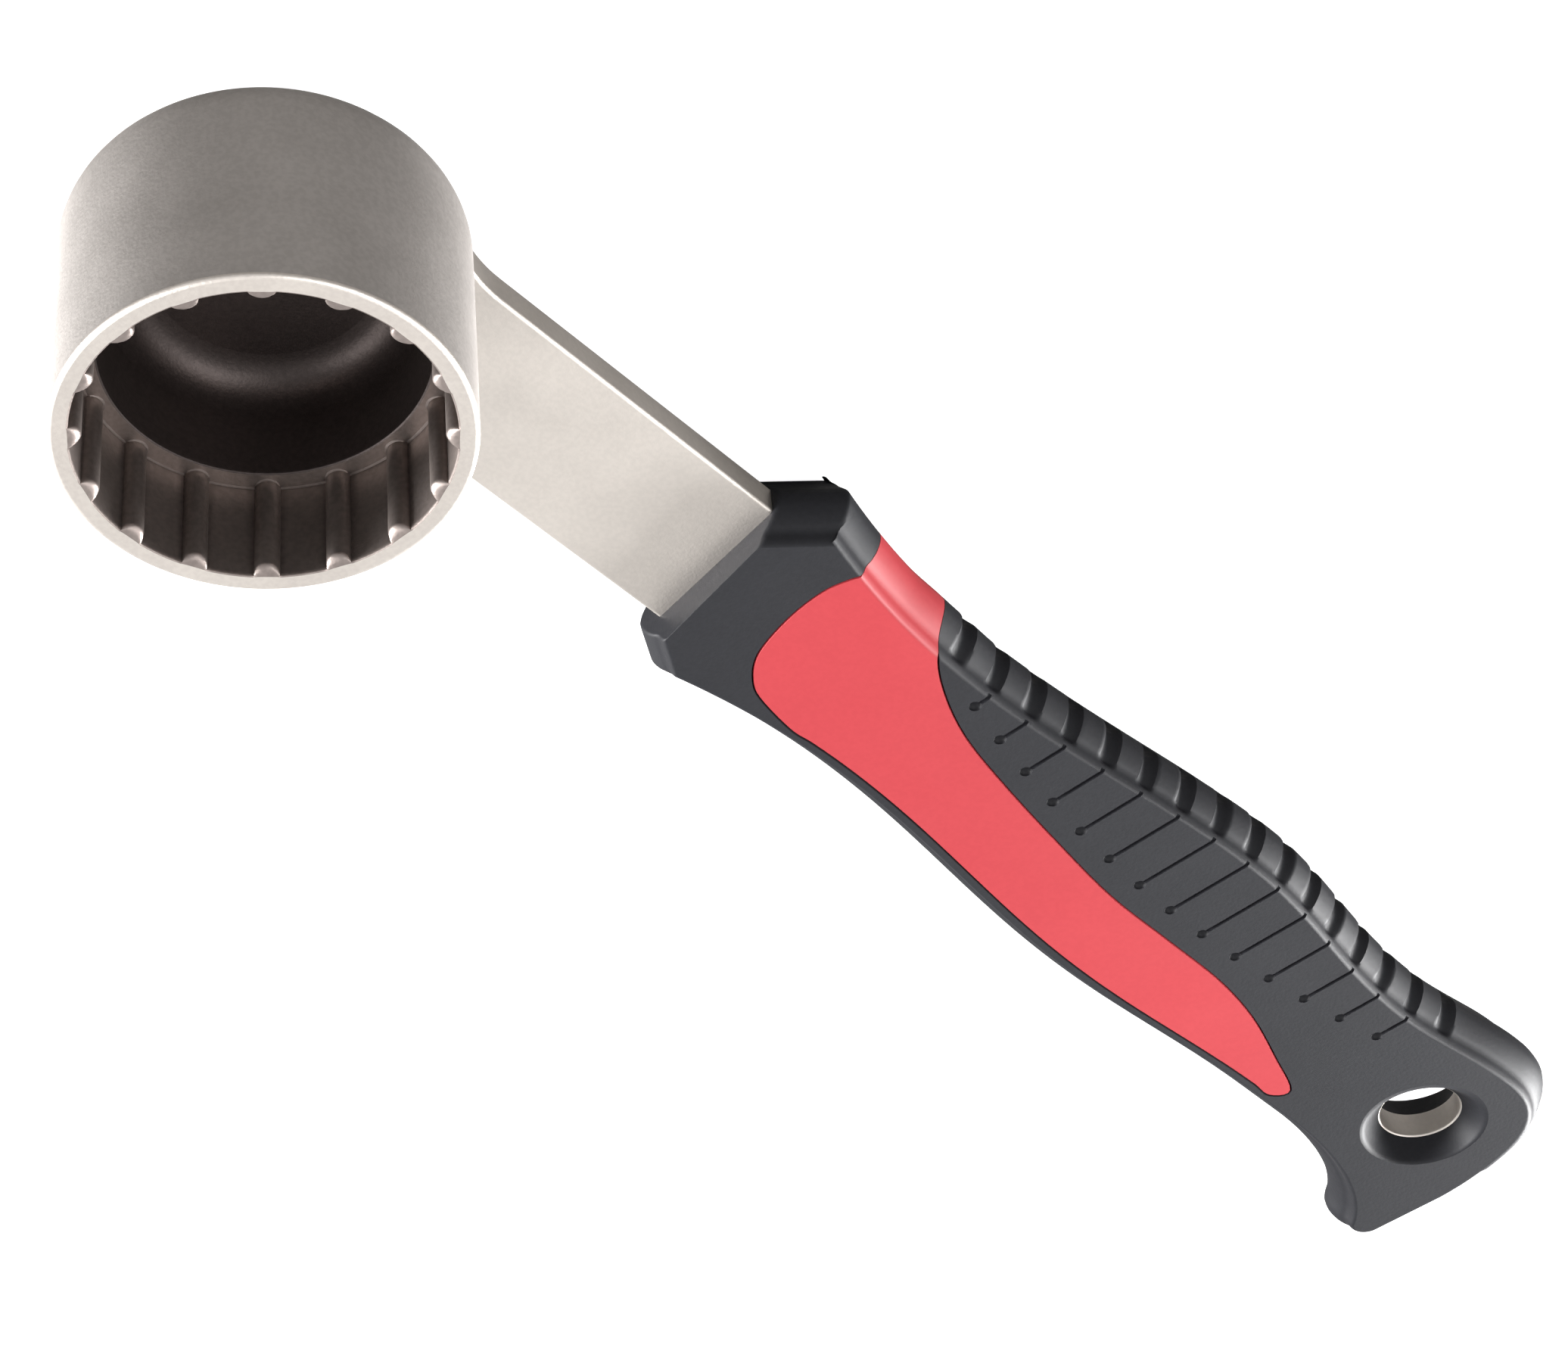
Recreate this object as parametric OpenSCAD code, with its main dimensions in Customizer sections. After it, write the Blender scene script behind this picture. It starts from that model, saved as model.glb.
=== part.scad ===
// Bottom bracket tool: a toothed socket on a flat steel bar with a two-colour moulded grip.
// The origin is on the socket's axis at the ledge below the teeth. +Z points out of the
// socket's mouth and +X runs along the bar to the grip. The side with ribs is +Y.

/* [Socket] */
// Wall outside the flutes
wall_t = 2.5; // [1.5:0.25:4]
// Height above the bar
socket_h = 38; // [34:0.5:48]
// Radius of the rounding at the closed end
socket_round = 7; // [3:0.5:8]
// Chamfer round the outside of the mouth
mouth_chamfer = 0.6; // [0.2:0.1:1]
// Diameter across the flutes between the teeth
flute_d = 45; // [43:0.25:46]
// Number of teeth
tooth_count = 16; // [8:1:20]
// Width of a tooth
tooth_w = 3.2; // [2:0.1:4]
// How far a tooth stands in from the flutes
tooth_rise = 1.5; // [0.8:0.1:1.6]
// Depth of the toothed part
tooth_depth = 15; // [10:0.5:18]
// How far the teeth end below the mouth
tooth_lead = 0.2; // [0.2:0.1:1]
// Width of the ledge between the flutes and the bore
ledge_w = 2.7; // [1.8:0.1:4]
// Thickness of the floor
floor_t = 7.5; // [5:0.5:9]
// Fillet between bore and floor
floor_fillet = 5.5; // [1:0.5:6]

/* [Bar] */
// Width
bar_w = 24; // [20:0.5:28]
// Thickness
bar_t = 4.5; // [3:0.25:6]
// Width of the rounded head under the socket
head_w = 35; // [30:0.5:38]
// Radius of the flare from the head into the bar
flare_r = 22; // [10:1:30]
// Distance from the socket's axis at which the flare ends
flare_end = 29; // [26:0.5:34]
// Steel left past the hanging hole
bar_past_hole = 6; // [4:0.5:7]

/* [Hanging hole] */
// Diameter in the steel
hole_d = 12.6; // [8:0.2:14]
// Countersink of its edges
hole_chamfer = 0.4; // [0.2:0.1:0.8]
// Play between the steel's edge and the rubber at the hole
rim_gap = 0.3; // [0.2:0.1:1.5]
// Flare of the rubber rim from the steel to the face
rim_flare = 3; // [0.5:0.1:3.5]
// Distance from the grip's far end
hole_from_end = 19.3; // [17:0.1:22]
// Offset to the side without ribs
hole_offset = 1.8; // [0:0.1:3]

/* [Grip] */
// Distance from the socket's axis to the collar's front
grip_x = 82; // [70:1:100]
// Length
grip_l = 190; // [180:1:210]
// Rubber above and below the bar
cover_t = 4.1; // [3:0.1:6]
// How far the side ridge stands out past the face
ridge_out = 4.1; // [3:0.1:4.5]
// Rake of the collar's front, in degrees
collar_rake = 11; // [0:1:15]
// Width of the collar's front
collar_front_w = 32.4; // [30:0.2:34]
// Half width at the collar's corners
collar_half = 20.6; // [19:0.2:23]
// Length of the collar's corner chamfers
collar_corner = 5; // [3:0.5:7]
// Half width of the waist
waist_half = 15.9; // [15:0.1:17]
// Distance of the waist from the front
waist_at = 40; // [36:1:46]
// Half width of the belly
belly_half = 20.3; // [18:0.1:23]
// Distance of the belly from the front
belly_at = 101; // [92:1:108]
// Half width of the neck before the pommel, on the ribbed side
neck_half = 16; // [15:0.1:18]
// Distance of the neck from the front
neck_at = 143; // [140:1:146]
// Extra width of the neck on the plain side
neck_extra = 2.4; // [0:0.1:3]
// Half width of the pommel on the ribbed side
pommel_half = 18.3; // [17:0.1:21]
// How far the pommel's heel reaches to the plain side
heel_reach = 28.4; // [27:0.1:30]
// Radius of the heel
heel_r = 6; // [5:0.1:7]
// Length of the pommel's rounded end
pommel_l = 20; // [18:0.5:22]

/* [Ribs] */
// Number of notches along the side
rib_count = 16; // [10:1:16]
// Distance between two notches
rib_pitch = 7.8; // [7:0.1:7.9]
// Distance of the first notch from the front
rib_start = 36; // [34:0.5:37]
// Depth of a notch
notch_depth = 0.9; // [0.5:0.1:1.1]
// Radius of a notch
notch_r = 1.7; // [1.2:0.1:2.4]
// Tilt of a notch from the ridge to the face, in degrees
notch_tilt = 28; // [20:1:32]
// Width of the thin grooves on the faces
groove_w = 0.6; // [0.3:0.1:1]
// Depth of the thin grooves and their end dimples
groove_depth = 0.5; // [0.3:0.1:0.8]
// Diameter of the dimple that ends each groove
dimple_d = 1.9; // [1.2:0.1:2.4]

/* [Colour insert] */
// Distance of the insert's front from the collar's front
insert_start = 11.5; // [10:0.5:14]
// Length of the insert
insert_l = 136.5; // [132:0.5:140]
// Black edge left between the insert and the plain side of the face
insert_margin = 0.9; // [0.6:0.1:2]
// Rubber over the hidden core's faces
skin_t = 3.2; // [2:0.1:3.6]
// Rubber round the hidden core's edge
skin_side = 2.8; // [2:0.1:3.2]

/* [Hidden] */
$fn = 96;
cut = 1;

function blend(a, b, t) = a + (b - a) * (1 - cos(180 * t)) / 2;
function ease(a, b, t) = b + (a - b) * (1 - t) * (1 - t);
function unit(v) = v / norm(v);

socket_d = flute_d + 2 * wall_t;
bore_d = flute_d - 2 * ledge_w;
mouth_z = bar_t + socket_h;
tooth_r = tooth_w / 2;
tooth_at = flute_d / 2 + tooth_r - tooth_rise;
ledge_z = mouth_z - tooth_depth;
floor_z = bar_t + floor_t;

grip_end = grip_x + grip_l;
hole_x = grip_end - hole_from_end;
bar_end = hole_x + hole_d / 2 + bar_past_hole;
mid_z = bar_t / 2;
half_t = bar_t / 2 + cover_t;
top_z = mid_z + half_t;
low_z = mid_z - half_t;

waist_x = grip_x + waist_at;
belly_x = grip_x + belly_at;
neck_x = grip_x + neck_at;
pommel_x = grip_end - pommel_l;
corner_x = grip_x + collar_corner;
heel_x = grip_end - heel_r;
heel_y = heel_r - heel_reach;
heel_turn = 46;
flank_x = heel_x - heel_r * sin(heel_turn);
flank_y = heel_y - heel_r * cos(heel_turn);
flank_start = neck_x + 10;
flank_turn = 71;
plain_start = corner_x + 4.5;

// Half width of the ribbed side at x, between the collar's corner and the pommel
function ribbed_half(x) =
    x < waist_x ? ease(collar_half, waist_half, (x - corner_x) / (waist_x - corner_x))
    : x < belly_x ? blend(waist_half, belly_half, (x - waist_x) / (belly_x - waist_x))
    : x < neck_x ? blend(belly_half, neck_half, (x - belly_x) / (neck_x - belly_x))
    : blend(neck_half, pommel_half, (x - neck_x) / (pommel_x - neck_x));

// Half width of the plain side at x, between the collar's corner and the heel's flank
function plain_half(x) =
    x < waist_x ? ease(collar_half, waist_half, (x - corner_x) / (waist_x - corner_x))
    : x < belly_x ? blend(waist_half, belly_half, (x - waist_x) / (belly_x - waist_x))
    : x < neck_x ? blend(belly_half, neck_half + neck_extra, (x - belly_x) / (neck_x - belly_x))
    : neck_half + neck_extra;

flank_drop = flank_y + plain_half(flank_start);

// The pommel's rounded corner on the ribbed side, a quarter of a superellipse
corner_drop = pommel_half + 10;
function pommel_corner(a) = [
    pommel_x + (grip_end - pommel_x) * pow(sin(a), 0.8),
    pommel_half - corner_drop + corner_drop * pow(cos(a), 0.8)];

// Where the collar's front meets its corner chamfers, at side 1 or -1
function front_point(side) =
    [grip_x - side * collar_front_w / 2 * tan(collar_rake), side * collar_front_w / 2];

// The grip seen from above, at its widest, going round with the solid on the right
step = 4;
grip_outline = concat(
    [front_point(-1), front_point(1)],
    [for (x = [corner_x : step : pommel_x]) [x, ribbed_half(x)]],
    [for (a = [10 : 10 : 90]) pommel_corner(a)],
    [for (a = [0 : 20 : 90 + heel_turn]) [heel_x + heel_r * cos(a), heel_y - heel_r * sin(a)]],
    [for (a = [flank_turn - 11 : -12 : 12]) [
        flank_start + (flank_x - flank_start) * sin(a) / sin(flank_turn),
        -plain_half(flank_start) + flank_drop * (1 - cos(a)) / (1 - cos(flank_turn))]],
    [for (x = [flank_start : -step : corner_x + 2 * step]) [x, -plain_half(x)]],
    [[plain_start, -plain_half(plain_start)]]);

// Share of the sloping side that the collar's front takes, which is nearly upright
front_share = 0.3;
function slope_share(i) = i == 0 ? front_share : 1;

// The outline drawn in by d, each edge kept parallel
function edge_normal(p, i) =
    let (e = unit(p[(i + 1) % len(p)] - p[i])) [e[1], -e[0]];
function inner_point(p, i, d) =
    let (
        before = (i + len(p) - 1) % len(p),
        na = edge_normal(p, before),
        nb = edge_normal(p, i),
        da = d * slope_share(before),
        db = d * slope_share(i),
        c = na * nb)
    c > 0.995 ? p[i] + (na + nb) * (da + db) / 2 / (1 + c)
    : p[i] + (na * (da - db * c) + nb * (db - da * c)) / (1 - c * c);
function drawn_in(p, d) = [for (i = [0 : len(p) - 1]) inner_point(p, i, d)];

// The side's section from the ridge to the face: share of ridge_out, share of half_t
side_section = [[0, 0], [0.11, 0.3], [0.27, 0.47], [0.47, 0.62], [0.62, 0.7],
    [0.72, 0.78], [0.78, 0.88], [0.87, 0.96], [1, 1]];
// The levels of the whole loft, which goes on past both faces
up_levels = concat(side_section, [[1, 1 + cut / half_t]]);
levels = concat(
    [for (i = [len(up_levels) - 1 : -1 : 1]) [up_levels[i][0], -up_levels[i][1]]],
    up_levels);

// A closed skin over outlines stacked from low to high
module loft(rings) {
    n = len(rings[0]);
    m = len(rings);
    points = [for (r = rings) for (p = r) p];
    sides = [for (j = [0 : m - 2]) for (i = [0 : n - 1])
        let (k = (i + 1) % n, a = j * n + i, b = j * n + k)
        each [[a, b, b + n], [a, b + n, a + n]]];
    low_cap = [for (i = [n - 1 : -1 : 0]) i];
    high_cap = [for (i = [0 : n - 1]) (m - 1) * n + i];
    polyhedron(points, concat(sides, [low_cap, high_cap]), convexity = 8);
}

// The whole moulded handle, trimmed flat at its faces, before it is shared between insert
// and cover
module grip_body() {
    intersection() {
        loft([for (level = levels)
            [for (p = drawn_in(grip_outline, level[0] * ridge_out))
                [p[0], p[1], mid_z + level[1] * half_t]]]);
        translate([grip_x - bar_w, -bar_w - heel_reach, low_z])
            cube([grip_l + 2 * bar_w, 2 * (bar_w + heel_reach), 2 * half_t]);
    }
}

insert_x = grip_x + insert_start;
insert_end = insert_x + insert_l;
insert_half = ridge_out + insert_margin;
insert_wrap = 18.5;
insert_tail = 136.5;
edge_start = insert_x + 17.5;

// The colour insert's window seen from above, open past the neck on the ribbed side
insert_front = [[3.5, 24], [2.5, 17.2], [1, 13.3], [-0.2, 9.5], [0.1, 4.2], [1.4, -1.4],
    [3.1, -5.4], [6, -8.3], [9.8, -10.2]];
insert_back = [[135, -9.4], [127, -6.6], [116, -3.8], [105, -2.1], [92, -1.9], [78, -1.7],
    [62.5, 0.2], [47.5, 2.5], [36, 4.9], [27, 8.5], [21, 12.4], [insert_wrap, 16.5],
    [insert_wrap, 24]];
insert_outline = concat(
    [for (p = insert_front) [insert_x + p[0], p[1]]],
    [for (x = [edge_start : step : insert_end]) [x, insert_half - plain_half(x)]],
    [for (p = insert_back) [insert_x + p[0] * insert_l / insert_tail, p[1]]]);

// The bar seen from above
module bar_outline() {
    circle(d = head_w);
    translate([0, -bar_w / 2]) square([bar_end - bar_w / 2, bar_w]);
    difference() {
        translate([0, -head_w / 2]) square([flare_end, head_w]);
        for (side = [-1, 1])
            translate([flare_end, side * (bar_w / 2 + flare_r)]) circle(flare_r);
    }
    translate([bar_end - bar_w / 2, 0]) circle(d = bar_w);
}

module bar_blank() {
    linear_extrude(bar_t) bar_outline();
}

module socket_shell() {
    rotate_extrude() difference() {
        union() {
            translate([0, bar_t + socket_round])
                square([socket_d / 2, socket_h - socket_round - mouth_chamfer]);
            translate([0, bar_t]) square([socket_d / 2 - socket_round, socket_h]);
            intersection() {
                translate([socket_d / 2 - socket_round, bar_t + socket_round])
                    circle(socket_round);
                translate([0, bar_t]) square([socket_d / 2, socket_h]);
            }
            polygon([[0, mouth_z - mouth_chamfer], [socket_d / 2, mouth_z - mouth_chamfer],
                [socket_d / 2 - mouth_chamfer, mouth_z], [0, mouth_z]]);
        }
        translate([0, ledge_z]) square([flute_d / 2, tooth_depth + cut]);
        translate([0, floor_z + floor_fillet])
            square([bore_d / 2, mouth_z - floor_z - floor_fillet + cut]);
        translate([0, floor_z]) square([bore_d / 2 - floor_fillet, socket_h]);
        intersection() {
            translate([bore_d / 2 - floor_fillet, floor_z + floor_fillet])
                circle(floor_fillet);
            translate([0, floor_z]) square([bore_d / 2, socket_h]);
        }
    }
}

module socket() color([0.72, 0.71, 0.69]) {
    socket_shell();
    for (i = [0 : tooth_count - 1])
        rotate([0, 0, 360 / tooth_count * i]) translate([tooth_at, 0, ledge_z - cut])
            cylinder(r = tooth_r, h = tooth_depth + cut - tooth_lead, $fn = 32);
}

module hanging_hole() {
    translate([hole_x, -hole_offset, -cut]) cylinder(d = hole_d, h = bar_t + 2 * cut);
}

module handle_bar() color([0.75, 0.74, 0.72]) {
    difference() {
        bar_blank();
        hanging_hole();
        for (z = [0, bar_t])
            translate([hole_x, -hole_offset, z]) mirror([0, 0, z == 0 ? 1 : 0])
                translate([0, 0, -hole_chamfer])
                    cylinder(d1 = hole_d, d2 = hole_d + 4 * hole_chamfer, h = 2 * hole_chamfer);
    }
}

// The hidden part of the insert, a flat block round the bar
core_outline = drawn_in(grip_outline, skin_side);
module core_block() {
    intersection() {
        translate([0, 0, low_z + skin_t]) linear_extrude(2 * (half_t - skin_t))
            polygon(core_outline);
        translate([grip_x + 2 * skin_t, -heel_reach, low_z])
            cube([hole_x - hole_d - grip_x - 2 * skin_t, 2 * heel_reach, 2 * half_t]);
    }
}

// The window through the grip, reaching past both faces
module insert_window() {
    translate([0, 0, low_z - cut]) linear_extrude(2 * (half_t + cut))
        polygon(insert_outline);
}

module grip_core() color([0.86, 0.13, 0.17]) {
    difference() {
        intersection() {
            grip_body();
            union() {
                core_block();
                insert_window();
            }
        }
        bar_blank();
    }
}

// Where a face groove ends inside the face, closest to the middle at the belly
groove_near = 2.5;
function groove_end(x) = groove_near + 0.0022 * (x - belly_x) * (x - belly_x);

module rib_notches() {
    for (i = [0 : rib_count - 1]) {
        x = grip_x + rib_start + i * rib_pitch;
        for (side = [-1, 1])
            translate([x, ribbed_half(x) + notch_r - notch_depth, mid_z])
                rotate([side * notch_tilt, 0, 0]) mirror([0, 0, side < 0 ? 1 : 0])
                    cylinder(r = notch_r, h = half_t, $fn = 12);
    }
}

module face_grooves() {
    for (i = [1 : rib_count - 2]) {
        x = grip_x + rib_start + i * rib_pitch;
        for (z = [top_z - groove_depth, low_z - cut]) translate([x, groove_end(x), z]) {
            translate([-groove_w / 2, 0, 0])
                cube([groove_w, ribbed_half(x) - groove_end(x), groove_depth + cut]);
            cylinder(d = dimple_d, h = groove_depth + cut, $fn = 12);
        }
    }
}

// The flared opening in the rubber on each side of the hanging hole
module rim_opening() {
    rim_r = hole_d / 2 + rim_gap;
    slope = rim_flare / cover_t;
    for (side = [0, 1])
        translate([hole_x, -hole_offset, side == 1 ? bar_t : 0]) mirror([0, 0, 1 - side])
            translate([0, 0, -cut])
                cylinder(r1 = rim_r - slope * cut, r2 = rim_r + slope * (cover_t + cut),
                    h = cover_t + 2 * cut);
}

module grip_cover() color([0.13, 0.13, 0.14]) {
    difference() {
        grip_body();
        insert_window();
        core_block();
        bar_blank();
        rim_opening();
        rib_notches();
        face_grooves();
    }
}

// Moves a node from the bar's back face, where it is modelled, to the origin at the ledge
module in_frame() translate([0, 0, -ledge_z]) children();

in_frame() socket();
in_frame() handle_bar();
in_frame() grip_core();
in_frame() grip_cover();
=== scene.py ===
"""The bottom bracket tool, dressed for its picture.

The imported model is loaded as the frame. Each of its four nodes gives way to a piece with the
same main sizes and with the roundings, parting lines and moulded relief of the real one.
Sizes are in millimetres and heights count from the bar's back face. Meshes are in metres, and
their origin is the frame's, on the ledge below the teeth.
"""

import logging
import math
from collections.abc import Iterable, Sequence
from dataclasses import dataclass
from enum import Enum

import bmesh
import bpy
from mathutils import Euler, Matrix, Vector

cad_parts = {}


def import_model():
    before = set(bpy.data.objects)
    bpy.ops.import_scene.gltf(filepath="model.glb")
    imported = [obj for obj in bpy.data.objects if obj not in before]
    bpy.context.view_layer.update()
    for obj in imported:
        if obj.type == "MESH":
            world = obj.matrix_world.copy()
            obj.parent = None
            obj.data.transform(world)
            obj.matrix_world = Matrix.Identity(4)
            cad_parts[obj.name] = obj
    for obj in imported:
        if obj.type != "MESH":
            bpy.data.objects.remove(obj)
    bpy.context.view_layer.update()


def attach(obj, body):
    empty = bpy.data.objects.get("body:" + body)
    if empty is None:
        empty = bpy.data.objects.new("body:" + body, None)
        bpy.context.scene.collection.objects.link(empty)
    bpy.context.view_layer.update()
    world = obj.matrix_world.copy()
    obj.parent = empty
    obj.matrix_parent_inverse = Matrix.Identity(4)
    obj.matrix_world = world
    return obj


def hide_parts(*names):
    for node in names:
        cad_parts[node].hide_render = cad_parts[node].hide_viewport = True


MM = 0.001
LEDGE_Z = 27.5
LEVEL = 0.9998
BODY = "root"
log = logging.getLogger("bottom_bracket_tool")

Point = tuple[float, float]


class Cut(Enum):
    """What a cutter does to a blank."""

    AWAY = "DIFFERENCE"
    COMMON = "INTERSECT"
    ADD = "UNION"


def ease(a: float, b: float, t: float) -> float:
    """Goes from a to b and arrives level."""
    return b + (a - b) * (1 - t) * (1 - t)


def blend(a: float, b: float, t: float) -> float:
    """Goes from a to b and is level at both ends."""
    return a + (b - a) * (1 - math.cos(math.pi * t)) / 2


def smooth_step(low: float, high: float, value: float) -> float:
    """Goes from 0 at low to 1 at high, level at both ends."""
    t = min(max((value - low) / (high - low), 0.0), 1.0)
    return t * t * (3 - 2 * t)


def curve_through(points: Sequence[Point], pieces: int) -> list[Point]:
    """Draws a smooth open curve through points.

    Args:
        points: The points that the curve passes, in order.
        pieces: How many short lines stand between two of them.

    Returns:
        The points of the finer line, the first and last of the given ones included.
    """
    ends = [points[0], *points, points[-1]]
    line: list[Point] = []
    for i in range(1, len(ends) - 2):
        a, b, c, d = (Vector(ends[i + k]) for k in (-1, 0, 1, 2))
        for k in range(pieces):
            t = k / pieces
            p = 0.5 * (
                2 * b
                + (c - a) * t
                + (2 * a - 5 * b + 4 * c - d) * t * t
                + (3 * b - a - 3 * c + d) * t * t * t
            )
            line.append((p.x, p.y))
    line.append(tuple(points[-1]))
    return line


def moved_out(outline: Sequence[Point], distance: float) -> list[Point]:
    """Moves a closed outline that runs anticlockwise outwards, each edge kept parallel."""
    count = len(outline)
    moved: list[Point] = []
    for i in range(count):
        p, q, r = (Vector(outline[(i + k) % count]) for k in (-1, 0, 1))
        before, after = (q - p).normalized(), (r - q).normalized()
        na, nb = Vector((before.y, -before.x)), Vector((after.y, -after.x))
        step = (na + nb) * distance / max(1 + na.dot(nb), 0.4)
        moved.append((q.x + step.x, q.y + step.y))
    return moved


class Skin:
    """A closed skin that grows ring by ring from one end to the other."""

    def __init__(self, ring: Iterable[Vector]) -> None:
        """Starts the skin with its first ring, in millimetres, and closes that end."""
        self.mesh = bmesh.new()
        verts = [self.mesh.verts.new(p * MM) for p in ring]
        self.edges = [
            self.mesh.edges.new((verts[i], verts[(i + 1) % len(verts)]))
            for i in range(len(verts))
        ]
        self.verts = verts
        self.mesh.faces.new(verts)

    def grow(self, ring: Iterable[Vector]) -> None:
        """Adds one more ring, in millimetres, with as many points as the first."""
        grown = bmesh.ops.extrude_edge_only(self.mesh, edges=self.edges)["geom"]
        fresh = {v for v in grown if isinstance(v, bmesh.types.BMVert)}
        following: list[bmesh.types.BMVert] = []
        for vert, point in zip(self.verts, ring, strict=True):
            twin = next(e.other_vert(vert) for e in vert.link_edges if e.other_vert(vert) in fresh)
            twin.co = point * MM
            following.append(twin)
        count = len(following)
        self.edges = [
            self.mesh.edges.get((following[i], following[(i + 1) % count])) for i in range(count)
        ]
        self.verts = following

    def close(self) -> bmesh.types.BMesh:
        """Closes the last end and returns the mesh with its faces pointing outwards."""
        self.mesh.faces.new(self.verts)
        bmesh.ops.recalc_face_normals(self.mesh, faces=self.mesh.faces)
        return self.mesh


def stacked(rings: Sequence[Iterable[Vector]]) -> bmesh.types.BMesh:
    """Makes one closed skin over rings that follow each other."""
    skin = Skin(rings[0])
    for ring in rings[1:]:
        skin.grow(ring)
    return skin.close()


def prism(outline: Sequence[Point], levels: Sequence[Point]) -> bmesh.types.BMesh:
    """Stands an outline up.

    Args:
        outline: The closed outline seen from above, running anticlockwise.
        levels: Pairs of a height and how far the outline stands out at that height.

    Returns:
        The closed mesh.
    """
    return stacked(
        [[Vector((x, y, z)) for x, y in moved_out(outline, out)] for z, out in levels]
    )


def in_frame(at: Iterable[float]) -> Vector:
    """Turns a place in millimetres over the bar's back face into one in the frame."""
    x, y, z = at
    return Vector((x, y, z - LEDGE_Z)) * MM


def as_object(mesh: bmesh.types.BMesh, name: str) -> bpy.types.Object:
    """Writes a mesh out as an object at the frame's origin."""
    bmesh.ops.translate(mesh, verts=mesh.verts, vec=in_frame((0, 0, 0)))
    data = bpy.data.meshes.new(name)
    mesh.to_mesh(data)
    mesh.free()
    thing = bpy.data.objects.new(name, data)
    bpy.context.scene.collection.objects.link(thing)
    return thing


def carve(blank: bpy.types.Object, cutter: bmesh.types.BMesh, cut: Cut) -> None:
    """Cuts a blank with a cutter, which is used up.

    Args:
        blank: The object whose mesh changes.
        cutter: The mesh of the cutter.
        cut: What the cutter does.
    """
    tool = as_object(cutter, "cutter")
    modifier = blank.modifiers.new("cut", "BOOLEAN")
    modifier.operation = cut.value
    modifier.solver = "EXACT"
    modifier.object = tool
    graph = bpy.context.evaluated_depsgraph_get()
    cut_mesh = bpy.data.meshes.new_from_object(blank.evaluated_get(graph))
    blank.modifiers.remove(modifier)
    spent = blank.data
    blank.data = cut_mesh
    cut_mesh.name = blank.name
    bpy.data.meshes.remove(spent)
    bpy.data.meshes.remove(tool.data)


def finish_piece(
    piece: bpy.types.Object, materials: Sequence[bpy.types.Material], node: str
) -> None:
    """Shades a piece, dresses it and lets it stand for its node.

    Args:
        piece: The finished mesh object.
        materials: Its materials, in the order of its faces' indices.
        node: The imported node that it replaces.
    """
    for material in materials:
        piece.data.materials.append(material)
    piece.data.shade_smooth()
    piece.data.set_sharp_from_angle(angle=math.radians(32))
    for face in piece.data.polygons:
        if abs(face.normal.z) > LEVEL:
            face.use_smooth = False
    weighting = piece.modifiers.new("even_shading", "WEIGHTED_NORMAL")
    weighting.keep_sharp = True
    weighting.weight = 80
    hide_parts(node)
    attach(piece, BODY)
    log.info("%s: %d faces, replaces %s", piece.name, len(piece.data.polygons), node)


# Finishes


class Nodes:
    """A short way to write a node tree down."""

    def __init__(self, tree: bpy.types.NodeTree) -> None:
        """Takes an empty tree."""
        self.tree = tree

    def add(self, kind: str, **settings: object) -> bpy.types.Node:
        """Adds a node with its settings and returns it."""
        node = self.tree.nodes.new(kind)
        for name, value in settings.items():
            setattr(node, name, value)
        return node

    def join(self, source: bpy.types.NodeSocket, target: bpy.types.NodeSocket) -> None:
        """Links an output to an input."""
        self.tree.links.new(source, target)

    def math(self, operation: str, a: object, b: object = 0.0) -> bpy.types.NodeSocket:
        """Adds a sum of two sockets or numbers and returns its result."""
        node = self.add("ShaderNodeMath", operation=operation)
        for socket, value in zip(node.inputs, (a, b)):
            if isinstance(value, bpy.types.NodeSocket):
                self.join(value, socket)
            else:
                socket.default_value = value
        return node.outputs[0]

    def spread(
        self, value: bpy.types.NodeSocket, low: float, high: float, start: object, end: object
    ) -> bpy.types.NodeSocket:
        """Maps a value from low and high onto start and end, smoothly, and returns the result."""
        node = self.add("ShaderNodeMapRange", interpolation_type="SMOOTHSTEP")
        self.join(value, node.inputs["Value"])
        node.inputs["From Min"].default_value = low
        node.inputs["From Max"].default_value = high
        for name, bound in (("To Min", start), ("To Max", end)):
            if isinstance(bound, bpy.types.NodeSocket):
                self.join(bound, node.inputs[name])
            else:
                node.inputs[name].default_value = bound
        return node.outputs["Result"]

    def mix(self, share: bpy.types.NodeSocket, a: object, b: object) -> bpy.types.NodeSocket:
        """Mixes two colours, each a socket or a colour, and returns the result."""
        node = self.add("ShaderNodeMix", data_type="RGBA")
        self.join(share, node.inputs[0])
        for socket, colour in ((node.inputs[6], a), (node.inputs[7], b)):
            if isinstance(colour, bpy.types.NodeSocket):
                self.join(colour, socket)
            else:
                socket.default_value = (*colour, 1.0)
        return node.outputs[2]


Colour = tuple[float, float, float]


def new_group(
    name: str, inputs: Sequence[tuple[str, str, object]], outputs: Sequence[tuple[str, str]]
) -> tuple[bpy.types.NodeTree, Nodes, bpy.types.Node, bpy.types.Node]:
    """Makes a shader group with named sockets.

    Args:
        name: The group's name.
        inputs: Name, socket kind and value of each input.
        outputs: Name and socket kind of each output.

    Returns:
        The group, its writer, and its input and output nodes.
    """
    group = bpy.data.node_groups.new(name, "ShaderNodeTree")
    for title, kind, value in inputs:
        socket = group.interface.new_socket(title, in_out="INPUT", socket_type=kind)
        if value is not None:
            socket.default_value = value
    for title, kind in outputs:
        group.interface.new_socket(title, in_out="OUTPUT", socket_type=kind)
    nodes = Nodes(group)
    return group, nodes, nodes.add("NodeGroupInput"), nodes.add("NodeGroupOutput")


NUMBER, TINT, VECTOR = "NodeSocketFloat", "NodeSocketColor", "NodeSocketVector"


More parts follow.
